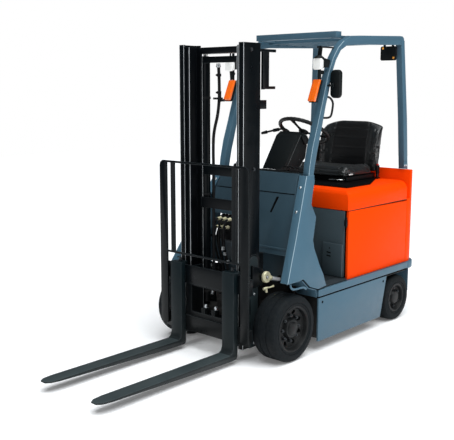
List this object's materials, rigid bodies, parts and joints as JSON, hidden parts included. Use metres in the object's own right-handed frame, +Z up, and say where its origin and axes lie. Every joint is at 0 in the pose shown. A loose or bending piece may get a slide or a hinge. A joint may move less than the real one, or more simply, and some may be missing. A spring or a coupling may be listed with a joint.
{
  "type": "forklift",
  "caption": "Electric counterbalanced forklift with a tilting two-stage mast, sliding forks, overhead guard, seat on a lifting hood and rear-wheel steering.",
  "frame": {"origin": "on the floor, under the middle of the truck's bounding box", "axes": "+Z up; the forks point towards -Y; +X is the driver's left; the length runs along Y"},
  "size_m": [1.046, 2.984, 2.106],
  "materials": {
    "body_grey": "satin blue-grey paint",
    "body_orange": "semi-gloss orange paint",
    "bright_steel": "bright ground steel",
    "fork_steel": "dark scale-grey steel",
    "iron_dark": "dark painted casting",
    "lamp_orange": "orange lens",
    "mast_black": "satin black paint",
    "plastic_black": "moulded black plastic",
    "tyre_rubber": "matt solid rubber",
    "vinyl_black": "grained black vinyl",
    "wheel_black": "satin black paint"
  },
  "bodies": {
    "chassis": {"frame": "iron_dark", "side_panel_left": "body_grey", "side_panel_right": "body_grey", "step_left": "body_grey", "step_right": "body_grey", "floor_plate": "body_grey", "drive_axle": "iron_dark", "steer_axle": "iron_dark", "battery": "plastic_black", "battery_panel_left": "body_orange", "battery_panel_right": "body_orange", "battery_bulkhead": "body_grey", "counterweight": "body_orange", "counterweight_base": "body_grey", "cowl": "body_grey", "column_stand": "iron_dark", "pedals": "plastic_black", "lever_set": "plastic_black", "guard_side_left": "body_grey", "guard_side_right": "body_grey", "fender_left": "body_grey", "fender_right": "body_grey", "roof_bars": "body_grey", "lamp_cluster_left": "lamp_orange", "lamp_cluster_right": "lamp_orange", "mirror": "plastic_black", "grab_handle": "body_grey", "rear_lamp": "plastic_black"},
    "hood_lid": {"hood": "body_orange", "seat_pan": "plastic_black", "seat_cushion": "vinyl_black", "seat_back": "vinyl_black"},
    "steering_column": {"steering_column": "plastic_black"},
    "steering_wheel": {"steering_wheel": "plastic_black"},
    "mast": {"outer_mast": "mast_black", "mast_hose": "tyre_rubber"},
    "inner_mast": {"inner_mast": "mast_black"},
    "carriage": {"carriage": "mast_black", "load_backrest": "mast_black"},
    "fork_left": {"fork_left": "fork_steel"},
    "fork_right": {"fork_right": "fork_steel"},
    "tilt_barrel_left": {"tilt_barrel_left": "mast_black"},
    "tilt_rod_left": {"tilt_rod_left": "bright_steel"},
    "front_wheel_left": {"tyre_front_left": "tyre_rubber", "wheel_front_left": "wheel_black"},
    "rear_knuckle_left": {"steering_knuckle_left": "iron_dark"},
    "rear_wheel_left": {"tyre_rear_left": "tyre_rubber", "wheel_rear_left": "wheel_black"},
    "tilt_barrel_right": {"tilt_barrel_right": "mast_black"},
    "tilt_rod_right": {"tilt_rod_right": "bright_steel"},
    "front_wheel_right": {"tyre_front_right": "tyre_rubber", "wheel_front_right": "wheel_black"},
    "rear_knuckle_right": {"steering_knuckle_right": "iron_dark"},
    "rear_wheel_right": {"tyre_rear_right": "tyre_rubber", "wheel_rear_right": "wheel_black"}
  },
  "joints": [
    {"name": "mast_tilt", "type": "hinge", "parent": "chassis", "child": "mast", "pos_m": [0, -0.108, 0.218], "axis": [1, 0, 0], "range_deg": [-6, 5]},
    {"name": "mast_lift", "type": "slide", "parent": "mast", "child": "inner_mast", "axis": [0, 0, 1], "range_m": [0, 1.45]},
    {"name": "carriage_lift", "type": "slide", "parent": "inner_mast", "child": "carriage", "axis": [0, 0, 1], "range_m": [0, 1.45]},
    {"name": "fork_left_shift", "type": "slide", "parent": "carriage", "child": "fork_left", "axis": [1, 0, 0], "range_m": [-0.115, 0.035]},
    {"name": "fork_right_shift", "type": "slide", "parent": "carriage", "child": "fork_right", "axis": [-1, 0, 0], "range_m": [-0.115, 0.035]},
    {"name": "hood_open", "type": "hinge", "parent": "chassis", "child": "hood_lid", "pos_m": [0, 1.332, 1.075], "axis": [-1, 0, 0], "range_deg": [0, 40]},
    {"name": "column_tilt", "type": "hinge", "parent": "chassis", "child": "steering_column", "pos_m": [0.008, 0.43625, 1.05997], "axis": [1, 0, 0], "range_deg": [0, 40.4]},
    {"name": "steering_wheel_turn", "type": "hinge", "parent": "steering_column", "child": "steering_wheel", "pos_m": [0.008, 0.647, 1.425], "axis": [0, 0.5, 0.866], "range_deg": [-812, 812]},
    {"name": "steer_left", "type": "hinge", "parent": "chassis", "child": "rear_knuckle_left", "pos_m": [0.362, 1.154, 0.172], "axis": [0, 0, 1], "range_deg": [-75, 75]},
    {"name": "rear_wheel_left_spin", "type": "hinge", "parent": "rear_knuckle_left", "child": "rear_wheel_left", "pos_m": [0.458, 1.154, 0.172], "axis": [1, 0, 0], "continuous": true},
    {"name": "front_wheel_left_spin", "type": "hinge", "parent": "chassis", "child": "front_wheel_left", "pos_m": [0.434, -0.108, 0.218], "axis": [1, 0, 0], "continuous": true},
    {"name": "tilt_barrel_left_swing", "type": "hinge", "parent": "chassis", "child": "tilt_barrel_left", "pos_m": [0.31, 0.132, 0.448], "axis": [1, 0, 0], "range_deg": [-2.59, 2.16]},
    {"name": "tilt_rod_left_slide", "type": "slide", "parent": "tilt_barrel_left", "child": "tilt_rod_left", "axis": [0, -0.9577, 0.2877], "range_m": [-0.03099, 0.02583]},
    {"name": "steer_right", "type": "hinge", "parent": "chassis", "child": "rear_knuckle_right", "pos_m": [-0.362, 1.154, 0.172], "axis": [0, 0, 1], "range_deg": [-75, 75]},
    {"name": "rear_wheel_right_spin", "type": "hinge", "parent": "rear_knuckle_right", "child": "rear_wheel_right", "pos_m": [-0.458, 1.154, 0.172], "axis": [1, 0, 0], "continuous": true},
    {"name": "front_wheel_right_spin", "type": "hinge", "parent": "chassis", "child": "front_wheel_right", "pos_m": [-0.434, -0.108, 0.218], "axis": [1, 0, 0], "continuous": true},
    {"name": "tilt_barrel_right_swing", "type": "hinge", "parent": "chassis", "child": "tilt_barrel_right", "pos_m": [-0.31, 0.132, 0.448], "axis": [1, 0, 0], "range_deg": [-2.59, 2.16]},
    {"name": "tilt_rod_right_slide", "type": "slide", "parent": "tilt_barrel_right", "child": "tilt_rod_right", "axis": [0, -0.9577, 0.2877], "range_m": [-0.03099, 0.02583]}
  ],
  "couplings": [
    {"joint": "carriage_lift", "follows": "mast_lift", "ratio": 1},
    {"joint": "column_tilt", "follows": "hood_open", "ratio": 1},
    {"joint": "steer_right", "follows": "steer_left", "ratio": 1},
    {"joint": "steering_wheel_turn", "follows": "steer_left", "ratio": -10.8},
    {"joint": "tilt_barrel_left_swing", "follows": "mast_tilt", "ratio": 0.42327},
    {"joint": "tilt_rod_left_slide", "follows": "mast_tilt", "m_per_rad": 0.29014},
    {"joint": "tilt_barrel_right_swing", "follows": "mast_tilt", "ratio": 0.42327},
    {"joint": "tilt_rod_right_slide", "follows": "mast_tilt", "m_per_rad": 0.29014}
  ]
}
